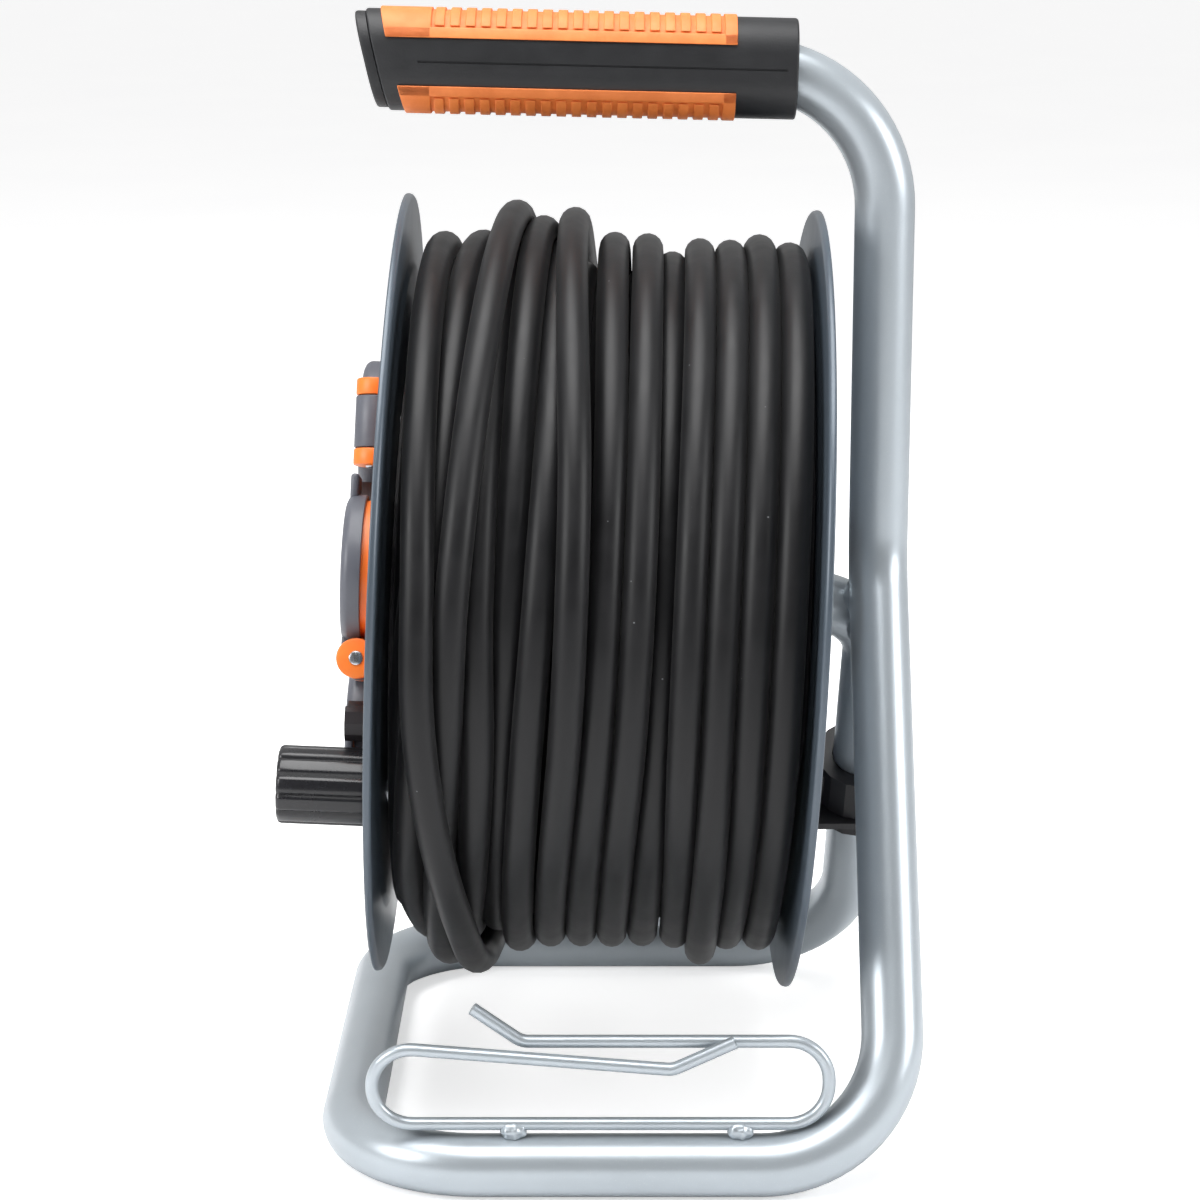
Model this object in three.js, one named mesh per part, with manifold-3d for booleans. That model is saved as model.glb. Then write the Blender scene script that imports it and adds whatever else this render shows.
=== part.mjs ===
// A cable reel: a steel-flanged drum of rubber cable that turns on the bent end of a one-piece tubular
// stand. The front panel carries four lidded sockets, a winding knob and a thermal reset button.
// Millimetres. +X runs from the front panel to the upright, +Z is up, the stand rests on Z = 0.
import * as THREE from "three";
import { mergeVertices } from "three/addons/utils/BufferGeometryUtils.js";
import Module from "manifold-3d";

const wasm = await Module();
wasm.setup();

// ---------- driving dimensions ----------
const GAP = 0.3; // between faces that meet
const TUBE_R = 11;
const TUBE_BORE = 9.4;
const TUBE_SIDES = 12;
const TUBE_FLAT = TUBE_R * Math.cos(Math.PI / TUBE_SIDES); // centre to flat: the rails rest on a flat
const BEND_R = 47;
const TOP_BEND_R = 50;
const AXLE_BEND_R = 28;
const FRONT_RAIL_X = -89.8;
const UPRIGHT_X = 104;
const UPRIGHT_Y = -5; // clears the axle bend that is welded to it
const RAIL_Y = 120;
const KNEE_Z = 202;
const HANDLE_Z = 383.2; // where the handle's axis meets the upright's
const HANDLE_RISE = 0.0236; // the handle climbs towards its free end

const HUB_Z = 190.6;
const DRUM_SHIFT = -0.9;
const DRUM_TILT = THREE.MathUtils.degToRad(2.4); // the axle climbs towards the front
const FLANGE_R = 145;
const FLANGE_X = 73.7; // outer face of each steel disc
const SHEET = 1.3;
const LIP = 4;
const CORE_R = 90;
const CORE_WALL = 3;
const CORE_LIP = 85.6; // inner radius of the core's front edge, which the panel screws enter
const HUB_R = 18;
const BUSH_R = 14.6;
const AXLE_END_X = -34;
const PANEL_SCREW_ANGLES = [53, 143, 233];
const PANEL_SCREW_RADIUS = 87.7;
const REAR_SCREW_ANGLES = [30, 150, 270];
const REAR_SCREW_RADIUS = 56;
const PILOT_R = 1.9; // the hole that a screw enters
const GLAND_ANGLE = 240;
const GLAND_X = -62;

const SOCKET_RADIUS = 56; // drum axis to socket centre
const SOCKET_ANGLES = [16, 106, 196, 286];
const WELL_R = 19.5;
const WELL_FLOOR = -6;
const LID_R = 27;
const LID_BASE = 9.6;
const LID_TOP = 17.3;
const HINGE_Y = -32;
const HINGE_Z = 10.4;
const BARREL_R = 7.1;
const BARREL_HALF = 16;
const KNUCKLE_HALF = 9.5;
const PIN_R = 2.6;
const SPRING_R = 4.5;
const PANEL_R = 98;
const PANEL_TOP = 1.8;
const HOUSING_R = 44; // the raised middle of the panel, between the sockets
const HOUSING_TOP = 14.6;
const SOCKET_TAIL = 48; // socket centre to the end of its hinge foot

const KNOB_RADIUS = 92;
const KNOB_ANGLE = -41;
const KNOB_R = 14;
const KNOB_BASE = PANEL_TOP + 0.5;
const KNOB_TOP = 37.4;
const KNOB_PIN_R = 3.2;
const KNOB_PIN_HEAD_R = 5.2;

const GRIP_LENGTH = 155.5;
const GRIP_START = 33; // from the corner of the upright's axis to the grip's open end
const GRIP_WIDTH = 32;
const GRIP_HEIGHT = 36;
const GRIP_CORNER = 14;
const GRIP_OVERHANG = 14; // from the tube's end to the grip's free end
const GRIP_SLANT = THREE.MathUtils.degToRad(14);
const GRIP_END_Z = -9; // of the slanted end, at mid height, from the tube's end
const PAD_START = -3.4; // at mid height; the pads start on the same slant as the grip's end
const PAD_PROUD = 0.9;
const PAD_DEPTH = 1.8;
const PAD_EDGE = 8.5; // half the height of the bare band between the two pads
const PAD_SHORT = 22; // the pads stop this far from the grip's open end
const CLIP_WIRE_R = 2.3;
const CLIP_BEND_R = 14;
const CLIP_ENDS = 29.4; // between the clip's upper and lower runs

const LEG_SHARE = 0.51; // where the brake sits on the far leg, from its foot to the axle
const COLLAR_R = 13.4;
const COLLAR_BACK = 7; // the collar's thick part stays on the drum's side of the leg
const BRAKE_SCREW = { y: 21.8, z: 7.5 };
const PLATE_LOW = -8.5;
const PLATE_HIGH = -5;

const CABLE_R = 5.65;
const WINDING_R = 132;
const PLUG_R = 18.5;
const PLUG_LENGTH = 62;
const POCKET = { half: 22, depth: 26.5, back: 44, front: 50 }; // the hollow in the winding round the plug
const PLUG_ANGLE = 176; // on the side away from the lids' free ends
const PLUG_X = -52; // along the axle, near the front flange

// How finely the round pieces are faceted.
const WHEEL_SIDES = 36;
const SOCKET_SIDES = 20;
const BORE_SIDES = 8;
const FLAT_SHARE = Math.cos(Math.PI / BORE_SIDES); // a faceted bore's flats lie inside its corners

const rad = THREE.MathUtils.degToRad;

// ---------- materials ----------
const paint = (color, roughness, metalness) =>
  new THREE.MeshStandardMaterial({ color, roughness, metalness });
const silverPaint = paint(0x9aa3a8, 0.35, 0.6);
const slatePaint = paint(0x4a525c, 0.4, 0.3);
const blackPlastic = paint(0x222326, 0.55, 0);
const greyPlastic = paint(0x74757f, 0.45, 0);
const orangePlastic = paint(0xf07a2a, 0.45, 0);
const blackRubber = paint(0x2b2b2d, 0.7, 0);
const zincSteel = paint(0xc9ccd0, 0.3, 0.9);
const brass = paint(0xc8a14a, 0.3, 0.9);

// ---------- shape helpers ----------
// A closed geometry as a solid for joining and cutting.
function solid(geometry) {
  const bare = geometry.index ? geometry.toNonIndexed() : geometry.clone();
  for (const name of Object.keys(bare.attributes))
    if (name !== "position") bare.deleteAttribute(name);
  const merged = mergeVertices(bare, 1e-4);
  return new wasm.Manifold(
    new wasm.Mesh({
      numProp: 3,
      vertProperties: merged.attributes.position.array,
      triVerts: new Uint32Array(merged.index.array),
    }),
  );
}

function geometryOf(shape) {
  const made = shape.getMesh();
  const positions = new Float32Array(made.numVert * 3);
  for (let i = 0; i < made.numVert; i++)
    positions.set(made.vertProperties.subarray(i * made.numProp, i * made.numProp + 3), i * 3);
  return new THREE.BufferGeometry()
    .setAttribute("position", new THREE.BufferAttribute(positions, 3))
    .setIndex(new THREE.BufferAttribute(made.triVerts, 1));
}

const union = (...shapes) => shapes.reduce((sum, next) => sum.add(next));

// A profile of [radius, z] points turned about Z.
function turned(profile, segments = 32) {
  const points = profile.map(([r, z]) => new THREE.Vector2(r, z));
  return solid(new THREE.LatheGeometry(points, segments).rotateX(Math.PI / 2));
}

const disc = (r, z0, z1, x = 0, y = 0, segments = 12) =>
  turned([[0, z0], [r, z0], [r, z1], [0, z1]], segments).translate([x, y, 0]);
const ring = (inner, outer, z0, z1, segments = 16) =>
  turned([[inner, z0], [outer, z0], [outer, z1], [inner, z1], [inner, z0]], segments);
function box(x0, x1, y0, y1, z0, z1) {
  const made = new THREE.BoxGeometry(x1 - x0, y1 - y0, z1 - z0);
  return solid(made.translate((x0 + x1) / 2, (y0 + y1) / 2, (z0 + z1) / 2));
}
// A rod along X.
const rodX = (r, x0, x1, y, z, segments = 12) =>
  disc(r, x0, x1, 0, 0, segments).rotate([0, 90, 0]).translate([0, y, z]);

// An outline of [x, y] points, thickened from z0 to z1.
function plate(outline, z0, z1) {
  const shape = new THREE.Shape(outline.map(([x, y]) => new THREE.Vector2(x, y)));
  const made = new THREE.ExtrudeGeometry(shape, { depth: z1 - z0, bevelEnabled: false });
  return solid(made.translate(0, 0, z0));
}

// A bar with two round ends, as seen from above.
function bar(ax, ay, ar, bx, by, br, z0, z1) {
  return wasm.Manifold.hull([disc(ar, z0, z1, ax, ay), disc(br, z0, z1, bx, by)]);
}

function roundedRectangle(width, height, corner, steps = 3) {
  const outline = [];
  for (const [cx, cy, from] of [[1, 1, 0], [-1, 1, 90], [-1, -1, 180], [1, -1, 270]])
    for (let i = 0; i <= steps; i++) {
      const a = rad(from + (90 * i) / steps);
      outline.push([
        cx * (width / 2 - corner) + corner * Math.cos(a),
        cy * (height / 2 - corner) + corner * Math.sin(a),
      ]);
    }
  return outline;
}

// A route of straight runs and round bends. It is stepped only in the bends, and its section keeps one
// flat level on the run that starts at corner levelRun.
class BentRoute extends THREE.Curve {
  constructor(corners, stepDegrees, levelRun = 0) {
    super();
    this.places = [];
    this.directions = [];
    corners.forEach(({ at, bend = 0 }, i) => {
      if (i === 0 || i === corners.length - 1) {
        const [a, b] = i === 0 ? [at, corners[1].at] : [corners[i - 1].at, at];
        this.places.push(at.clone());
        this.directions.push(b.clone().sub(a).normalize());
        return;
      }
      const before = at.clone().sub(corners[i - 1].at).normalize();
      const after = corners[i + 1].at.clone().sub(at).normalize();
      const angle = before.angleTo(after);
      const reach = bend * Math.tan(angle / 2);
      const axis = before.clone().cross(after).normalize();
      const start = at.clone().addScaledVector(before, -reach);
      const centre = start.clone().addScaledVector(axis.clone().cross(before), bend);
      const steps = Math.max(2, Math.ceil(THREE.MathUtils.radToDeg(angle) / stepDegrees));
      if (i === levelRun) this.levelAt = this.places.length + steps;
      for (let k = 0; k <= steps; k++) {
        const turn = (angle * k) / steps;
        this.places.push(start.clone().sub(centre).applyAxisAngle(axis, turn).add(centre));
        this.directions.push(before.clone().applyAxisAngle(axis, turn));
      }
    });
    this.levelAt ??= 0;
    this.steps = this.places.length - 1;
  }
  getPoint(t) {
    return this.places[Math.round(t * this.steps)].clone();
  }
  getPointAt(u) {
    return this.getPoint(u);
  }
  getTangentAt(u) {
    return this.directions[Math.round(u * this.steps)].clone();
  }
  computeFrenetFrames() {
    const tangents = this.directions;
    const normals = new Array(tangents.length);
    const level = tangents[this.levelAt];
    const across = Math.abs(level.z) > 0.9 ? new THREE.Vector3(1, 0, 0) : new THREE.Vector3(0, 0, 1);
    normals[this.levelAt] = across.projectOnPlane(level).normalize();
    const carry = (from, to) => {
      const turn = new THREE.Quaternion().setFromUnitVectors(tangents[from], tangents[to]);
      normals[to] = normals[from].clone().applyQuaternion(turn);
    };
    for (let i = this.levelAt + 1; i < tangents.length; i++) carry(i - 1, i);
    for (let i = this.levelAt - 1; i >= 0; i--) carry(i + 1, i);
    const binormals = tangents.map((t, i) => t.clone().cross(normals[i]));
    return { tangents, normals, binormals };
  }
}

// A round tube along a route; a bore of 0 makes a solid rod.
function tube(route, outer, bore, sides) {
  const polygon = (r, count) =>
    Array.from({ length: count }, (_, i) => {
      const a = ((i + 0.5) * 2 * Math.PI) / count;
      return new THREE.Vector2(r * Math.cos(a), r * Math.sin(a));
    });
  const section = new THREE.Shape(polygon(outer, sides));
  if (bore > 0) section.holes.push(new THREE.Path(polygon(bore, BORE_SIDES)));
  return new THREE.ExtrudeGeometry(section, { extrudePath: route, steps: route.steps });
}

function add(parent, name, shape, material) {
  const mesh = new THREE.Mesh(shape.isBufferGeometry ? shape : geometryOf(shape), material);
  mesh.name = name;
  parent.add(mesh);
  return mesh;
}

// A group whose local axes are the given directions.
function framed(parent, origin, x, y, z) {
  const group = new THREE.Group();
  group.quaternion.setFromRotationMatrix(new THREE.Matrix4().makeBasis(x, y, z));
  group.position.copy(origin);
  parent.add(group);
  return group;
}

// A solid given in the reel's frame, restated in a group's own.
function intoFrame(shape, group) {
  group.updateWorldMatrix(true, false);
  return shape.transform(group.matrixWorld.clone().invert().toArray());
}

const v = (x, y, z) => new THREE.Vector3(x, y, z);
const reel = new THREE.Group();

// ---------- stand ----------
const handleEndX = UPRIGHT_X - GRIP_START - GRIP_LENGTH + GRIP_OVERHANG;
const handleEnd = v(handleEndX, UPRIGHT_Y, HANDLE_Z + (UPRIGHT_X - handleEndX) * HANDLE_RISE);
const upperCorner = v(UPRIGHT_X, UPRIGHT_Y, HANDLE_Z);
const onAxle = (x) => v(x * Math.cos(DRUM_TILT), 0, HUB_Z - x * Math.sin(DRUM_TILT));
const axleCorner = v(UPRIGHT_X, 0, HUB_Z - UPRIGHT_X * Math.tan(DRUM_TILT));
const farRearCorner = v(UPRIGHT_X, RAIL_Y, TUBE_FLAT);

function standTube(radius = TUBE_R, bore = TUBE_BORE) {
  const corners = [
    { at: handleEnd },
    { at: upperCorner, bend: TOP_BEND_R },
    { at: v(UPRIGHT_X, UPRIGHT_Y, KNEE_Z), bend: BEND_R },
    { at: v(UPRIGHT_X, -RAIL_Y, TUBE_FLAT), bend: BEND_R },
    { at: v(FRONT_RAIL_X, -RAIL_Y, TUBE_FLAT), bend: BEND_R },
    { at: v(FRONT_RAIL_X, RAIL_Y, TUBE_FLAT), bend: BEND_R },
    { at: farRearCorner, bend: BEND_R },
    { at: axleCorner, bend: AXLE_BEND_R },
    { at: onAxle(AXLE_END_X) },
  ];
  const nearRail = 3;
  return tube(new BentRoute(corners, 22.5, nearRail), radius, bore, TUBE_SIDES);
}

// The sprung wire that holds the plug's end of the cable: one wire, its two arms crossing side by side.
function wireClip() {
  const low = 2 * TUBE_FLAT + 5.2; // the welds bridge the gap to the rail
  const high = low + CLIP_ENDS;
  const apart = 2.5;
  const frontArmY = -RAIL_Y - apart;
  const rearArmY = -RAIL_Y + apart;
  const corners = [
    { at: v(-44, rearArmY, high + 12) },
    { at: v(-27, rearArmY, high), bend: 8 },
    { at: v(80, rearArmY, high), bend: CLIP_BEND_R },
    { at: v(80, -RAIL_Y, low), bend: CLIP_BEND_R },
    { at: v(-79, -RAIL_Y, low), bend: CLIP_BEND_R },
    { at: v(-79, frontArmY, high), bend: CLIP_BEND_R },
    { at: v(25.5, frontArmY, high - 8.5), bend: 8 },
    { at: v(47, frontArmY, high + 1.5) },
  ];
  const lowerRun = 3;
  return tube(new BentRoute(corners, 30, lowerRun), CLIP_WIRE_R, 0, 6);
}

function weld(x, y, z, halfLength, r) {
  return solid(new THREE.SphereGeometry(1, 8, 6).scale(halfLength, r, r).translate(x, y, z));
}

// A weld joins its two pieces into one, so each bead is part of the piece it was laid on.
const clipWeldZ = 2 * TUBE_FLAT + 3.1;
const standClearance = solid(standTube(TUBE_R + GAP, 0));
const clipBeads = [-30, 49].map((x) => weld(x, -RAIL_Y - 1.5, clipWeldZ, 4.4, 3).subtract(standClearance));
const axleBead = weld(UPRIGHT_X - 4, -8, 181.5, 5, 6.5);
const axleBeadOutside = axleBead.subtract(solid(standTube(TUBE_R - 0.5, 0)));
add(reel, "frame_tube", solid(standTube()).add(axleBeadOutside), silverPaint);
add(reel, "wire_clip", union(solid(wireClip()), ...clipBeads), silverPaint);

// ---------- handle grip ----------
// Local x is across, y is up and z runs along the handle, from its free end to the upright.
const handleWay = upperCorner.clone().sub(handleEnd).normalize();
const handleUp = v(0, 0, 1).projectOnPlane(handleWay).normalize();
const grip = framed(reel, handleEnd, v(0, 1, 0), handleUp, handleWay);
const gripTop = GRIP_LENGTH - GRIP_OVERHANG;
const tubeRoom = TUBE_R + GAP + 0.2; // the sleeve's bore

function gripBlock(grow, z0, z1) {
  const outline = roundedRectangle(GRIP_WIDTH + 2 * grow, GRIP_HEIGHT + 2 * grow, GRIP_CORNER + grow);
  return plate(outline, z0, z1);
}

// The free end is cut on a slant, so its top reaches further than its underside.
function slantCut(shape, along) {
  const lean = Math.cos(GRIP_SLANT);
  return shape.trimByPlane([0, Math.sin(GRIP_SLANT), lean], along * lean);
}

// One pad on the top or the underside, grown by some slack to cut its own seat.
function pad(side, slack) {
  const band = gripBlock(PAD_PROUD + slack, -20, gripTop - PAD_SHORT + slack)
    .subtract(gripBlock(-PAD_DEPTH - slack, -30, gripTop));
  const edge = PAD_EDGE - slack;
  const y0 = side > 0 ? edge : -30;
  const y1 = side > 0 ? 30 : -edge;
  return slantCut(band.intersect(box(-30, 30, y0, y1, -20, gripTop)), PAD_START - slack);
}

// The tube starts its bend inside the sleeve, so the sleeve's bore follows the tube.
const sleeve = slantCut(gripBlock(0, -30, gripTop), GRIP_END_Z)
  .subtract(intoFrame(solid(standTube(tubeRoom, 0)), grip))
  .subtract(disc(tubeRoom, -40, 2))
  .subtract(pad(1, GAP))
  .subtract(pad(-1, GAP));
add(grip, "grip_sleeve", sleeve, blackPlastic);
add(grip, "grip_pad_top", pad(1, 0), orangePlastic);
add(grip, "grip_pad_bottom", pad(-1, 0), orangePlastic);

// A push-in cap closes the slanted end; its lip stands a little proud of the sleeve.
function gripCap() {
  const lip = slantCut(gripBlock(-1, -40, 20), GRIP_END_Z - 4.2);
  const behind = slantCut(gripBlock(4, -60, 60), GRIP_END_Z - GAP);
  const plug = slantCut(disc(TUBE_R - 0.4, -30, -GAP), GRIP_END_Z - 2);
  return lip.subtract(behind).add(plug);
}
add(grip, "grip_end_cap", gripCap(), blackPlastic);

// ---------- drum ----------
const drum = new THREE.Group();
drum.position.set(DRUM_SHIFT, 0, HUB_Z);
drum.rotation.y = DRUM_TILT;
reel.add(drum);
// Turned pieces are drawn about local Z and laid along the axle: z there is x here.
const alongAxle = new THREE.Group();
alongAxle.rotation.y = Math.PI / 2;
drum.add(alongAxle);

// Local x points at the -Y side, y up and z out of the front; z = 0 is the front flange's outer face.
const face = framed(drum, v(-FLANGE_X, 0, 0), v(0, -1, 0), v(0, 0, 1), v(-1, 0, 0));
const polar = (radius, angle) => [radius * Math.cos(rad(angle)), radius * Math.sin(rad(angle))];
// Moves a shape drawn with its z along the axle into the face's axes.
const acrossDrum = (shape) => shape.rotate([0, 180, 0]).translate([0, 0, -FLANGE_X]);
const faceZ = (x) => -(x + FLANGE_X);
const holes = (radius, angles, r, z0, z1) =>
  union(...angles.map((angle) => disc(r, z0, z1, ...polar(radius, angle), 8)));
const [knobX, knobY] = polar(KNOB_RADIUS, KNOB_ANGLE);
const glandZ = faceZ(GLAND_X);
const coreFront = -FLANGE_X + SHEET + GAP;
const coreRear = FLANGE_X - SHEET - GAP;

// One flange: a flat disc with a pressed step and a rolled lip, for the side given by sign.
function flange(sign, hole) {
  const out = FLANGE_X;
  const inside = out - SHEET;
  const lipOut = out + LIP - SHEET;
  const profile = [
    [hole, inside], [118, inside], [122, inside + 1.2], [FLANGE_R - 0.4, inside + 1.2], [FLANGE_R, lipOut],
    [FLANGE_R - SHEET, lipOut], [FLANGE_R - SHEET - 0.7, out + 1.2], [121.4, out + 1.2], [117.6, out],
    [hole, out], [hole, inside],
  ].map(([r, x]) => [r, sign * x]);
  return acrossDrum(turned(sign > 0 ? profile : profile.reverse(), WHEEL_SIDES));
}

const rearScrewHoles = (r, depth) =>
  holes(REAR_SCREW_RADIUS, REAR_SCREW_ANGLES, r, faceZ(FLANGE_X + 2), faceZ(FLANGE_X - depth));
const panelScrewHoles = (r) => holes(PANEL_SCREW_RADIUS, PANEL_SCREW_ANGLES, r, -7, 8);
const knobPinHole = (r, z0, z1) => disc(r, z0, z1, knobX, knobY, 12);
add(face, "rear_flange", flange(1, 30).subtract(rearScrewHoles(2.6, 6)), slatePaint);
add(face, "front_flange", flange(-1, CORE_LIP).subtract(panelScrewHoles(PILOT_R))
  .subtract(knobPinHole(KNOB_PIN_R + GAP, -8, 8)), slatePaint);

// The barrel that the cable is wound on, with its rear web and hub tube in one moulding.
function drumCore() {
  const inner = CORE_R - CORE_WALL;
  const profile = [
    [CORE_LIP, coreFront], [CORE_R, coreFront], [CORE_R, coreRear], [BUSH_R + GAP, coreRear],
    [BUSH_R + GAP, -30], [HUB_R, -30], [HUB_R, coreRear - 4], [inner, coreRear - 4],
    [inner, coreFront + 6], [CORE_LIP, coreFront + 6], [CORE_LIP, coreFront],
  ];
  const glandHole = disc(CABLE_R + 3.3, -20, 20, 0, 0, 10).rotate([0, 90, 0]);
  return acrossDrum(turned(profile, WHEEL_SIDES))
    .subtract(rearScrewHoles(PILOT_R, 7))
    .subtract(panelScrewHoles(PILOT_R))
    .subtract(knobPinHole(KNOB_PIN_HEAD_R + 0.6, -5, 5))
    .subtract(onGland(glandHole));
}
const onGland = (shape) => shape.translate([CORE_R, 0, glandZ]).rotate([0, 0, GLAND_ANGLE]);
add(face, "drum_core", drumCore(), blackPlastic);

// The gland where the cable passes through the barrel wall.
const gland = ring(CABLE_R + 0.5, CABLE_R + 3, -11, -0.6, 10)
  .add(ring(CABLE_R + 0.5, CABLE_R + 5, -11, -6, 10));
add(face, "cable_gland", onGland(gland.rotate([0, 90, 0])), blackPlastic);

// Flanged bushes that the hub turns on.
const bush = () => ring(TUBE_R + 0.4, BUSH_R, 0, 18);
const bushFlange = ring(TUBE_R + 0.4, HUB_R, -33, -30 - GAP).add(ring(TUBE_R + 0.4, BUSH_R, -31, -28));
add(alongAxle, "bush_front", bush().translate([0, 0, -29]).add(bushFlange), greyPlastic);
add(alongAxle, "bush_rear", bush().translate([0, 0, coreRear - 18]), greyPlastic);
// The axle's end: a plug in the tube, and a washer and screw that keep the drum on.
add(reel, "axle_end_plug", disc(TUBE_BORE - 1.2, AXLE_END_X, AXLE_END_X + 14, 0, 0, 16)
  .subtract(disc(3.4, AXLE_END_X - 1, AXLE_END_X + 15, 0, 0, 12)), zincSteel);
add(reel, "retaining_washer", ring(4, HUB_R, AXLE_END_X - 2.3, AXLE_END_X - GAP, 24), zincSteel);
add(reel, "retaining_screw", disc(6.5, AXLE_END_X - 7, AXLE_END_X - 2.6, 0, 0, 6)
  .add(disc(3, AXLE_END_X - 3, AXLE_END_X + 12, 0, 0, 12)), zincSteel);
for (const name of ["axle_end_plug", "retaining_washer", "retaining_screw"]) {
  const piece = reel.getObjectByName(name);
  piece.rotation.set(0, Math.PI / 2 + DRUM_TILT, 0);
  piece.position.set(0, 0, HUB_Z);
}

REAR_SCREW_ANGLES.forEach((angle, i) => {
  const head = disc(4.4, faceZ(FLANGE_X + 2.8), faceZ(FLANGE_X + GAP), 0, 0, 10);
  const screw = head.add(disc(1.6, faceZ(FLANGE_X + 1), faceZ(FLANGE_X - 5.5), 0, 0, 8));
  const [x, y] = polar(REAR_SCREW_RADIUS, angle);
  add(face, `rear_flange_screw_${i + 1}`, screw.translate([x, y, 0]), zincSteel);
});

// ---------- front panel ----------
function inSocketFrame(shape, angle) {
  const [x, y] = polar(SOCKET_RADIUS, angle);
  return shape.rotate([0, 0, angle]).translate([x, y, 0]);
}

// The outline that a socket's orange frame covers, seen from the front.
function footprint(grow, z0, z1) {
  const toe = (x) => disc(7 + grow, z0, z1, x, 7 - SOCKET_TAIL, 12);
  return wasm.Manifold.hull([disc(LID_R + 1.2 + grow, z0, z1, 0, 0, SOCKET_SIDES), toe(9), toe(-9)]);
}

function frontPanel() {
  let middle = disc(HOUSING_R, 1, HOUSING_TOP, 0, 0, 32)
    .add(bar(60, -33, 7, 62, -37, 8.5, 1, HOUSING_TOP));
  const profile = [[0, GAP], [PANEL_R, GAP], [PANEL_R, 1.2], [PANEL_R - 0.6, PANEL_TOP], [0, PANEL_TOP]];
  let made = turned(profile, WHEEL_SIDES);
  for (const angle of SOCKET_ANGLES) {
    middle = middle.subtract(inSocketFrame(footprint(0.6, -5, 30), angle));
    made = made.subtract(inSocketFrame(disc(22.9, -5, 20, 0, 0, SOCKET_SIDES), angle));
  }
  return made
    .add(middle)
    .subtract(knobPinHole(KNOB_PIN_R + GAP, -5, 20))
    .subtract(disc(7.4, 3.5, 20, 0, 0, 16))
    .subtract(panelScrewHoles(PILOT_R));
}
add(face, "front_panel", frontPanel(), blackPlastic);

PANEL_SCREW_ANGLES.forEach((angle, i) => {
  const screw = disc(4, PANEL_TOP + GAP, 4.4, 0, 0, 10).add(disc(1.6, -5.4, 3, 0, 0, 8));
  const [x, y] = polar(PANEL_SCREW_RADIUS, angle);
  add(face, `panel_screw_${i + 1}`, screw.translate([x, y, 0]), zincSteel);
});

// The thermal cut-out: its body behind the panel, and the button that resets it.
add(face, "thermal_cutout_body", box(-9, 9, -7, 7, -28, -0.3), blackPlastic);
const resetButton = disc(5.2, 6.5, HOUSING_TOP + 2.6, 0, 0, 20).add(disc(7, 6.5, 8.4, 0, 0, 20));
add(face, "reset_button", resetButton, orangePlastic);
const terminalHoles = [-13.5, -4.5, 4.5, 13.5].map((x) => disc(2.4, -12, 0, x, -18, 10));
add(face, "terminal_block", box(-18, 18, -24, -12, -23, -6).subtract(union(...terminalHoles)), greyPlastic);

// ---------- sockets ----------
// Each socket is drawn about its own centre: x away from the drum axis, y towards the lid's free end.
function socketFrame() {
  const collar = turned([[22.8, 3], [25, 3], [25, 12.4], [22.8, 12.4], [22.8, 3]], SOCKET_SIDES);
  let made = footprint(0, PANEL_TOP + GAP, 5.4)
    .add(collar)
    .subtract(disc(22.75, -5, 20, 0, 0, SOCKET_SIDES));
  for (const side of [-1, 1]) {
    const [x0, x1] = side > 0 ? [KNUCKLE_HALF + GAP, BARREL_HALF] : [-BARREL_HALF, -KNUCKLE_HALF - GAP];
    made = made.add(rodX(BARREL_R, x0, x1, HINGE_Y, HINGE_Z));
    made = made.add(box(x0, x1, HINGE_Y - BARREL_R, HINGE_Y + BARREL_R, 4, HINGE_Z));
  }
  const relief = rodX(BARREL_R + 0.5, -KNUCKLE_HALF - GAP, KNUCKLE_HALF + GAP, HINGE_Y, HINGE_Z);
  return made.subtract(relief).subtract(pinBore());
}

const PIN_BORE_R = (PIN_R + GAP) / FLAT_SHARE;
const pinBore = () => rodX(PIN_BORE_R, -40, 40, HINGE_Y, HINGE_Z, BORE_SIDES);

function socketLid() {
  const shell = turned([
    [0, LID_TOP - 2.4], [25.6, LID_TOP - 2.8], [25.6, LID_BASE], [LID_R, LID_BASE], [LID_R, LID_TOP - 3],
    [LID_R - 2.6, LID_TOP - 0.6], [0, LID_TOP],
  ], SOCKET_SIDES);
  let made = shell.add(box(-9.3, 9.3, HINGE_Y, -25.9, HINGE_Z + 1.2, LID_TOP - 0.9));
  made = made.add(rodX(BARREL_R, -KNUCKLE_HALF, KNUCKLE_HALF, HINGE_Y, HINGE_Z));
  made = made.add(box(-8, 8, LID_R - 1.6, LID_R + 7, LID_TOP - 4.6, LID_TOP - 1.6));
  for (const side of [-1, 1]) {
    const [x0, x1] = side > 0 ? [KNUCKLE_HALF, 20] : [-20, -KNUCKLE_HALF];
    made = made.subtract(rodX(BARREL_R + 0.6, x0, x1, HINGE_Y, HINGE_Z));
  }
  const springRoom = rodX((SPRING_R + GAP) / FLAT_SHARE, -5.5, 5.5, HINGE_Y, HINGE_Z, BORE_SIDES);
  return made.subtract(springRoom).subtract(pinBore());
}

function socketInsert() {
  const outer = 22.3;
  const profile = [
    [0, -26], [outer, -26], [outer, 12.2], [WELL_R, 12.2], [WELL_R, WELL_FLOOR], [0, WELL_FLOOR],
  ];
  let made = turned(profile, SOCKET_SIDES);
  for (const x of [-9.5, 9.5]) made = made.subtract(disc(2.6, -22, 0, x, 0, 12));
  return made;
}

// One sprung strip makes both earth contacts, across the well's floor and up its sides.
function earthClip() {
  const floor = box(-2.5, 2.5, -18.6, 18.6, WELL_FLOOR + GAP, WELL_FLOOR + 1.2);
  const prong = (y) => box(-2.5, 2.5, y - 0.5, y + 0.5, WELL_FLOOR + GAP, 4);
  return floor.add(prong(18.1)).add(prong(-18.1));
}

const hingePin = () => rodX(PIN_R, -BARREL_HALF - 0.6, BARREL_HALF + 0.6, HINGE_Y, HINGE_Z, BORE_SIDES);

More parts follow.
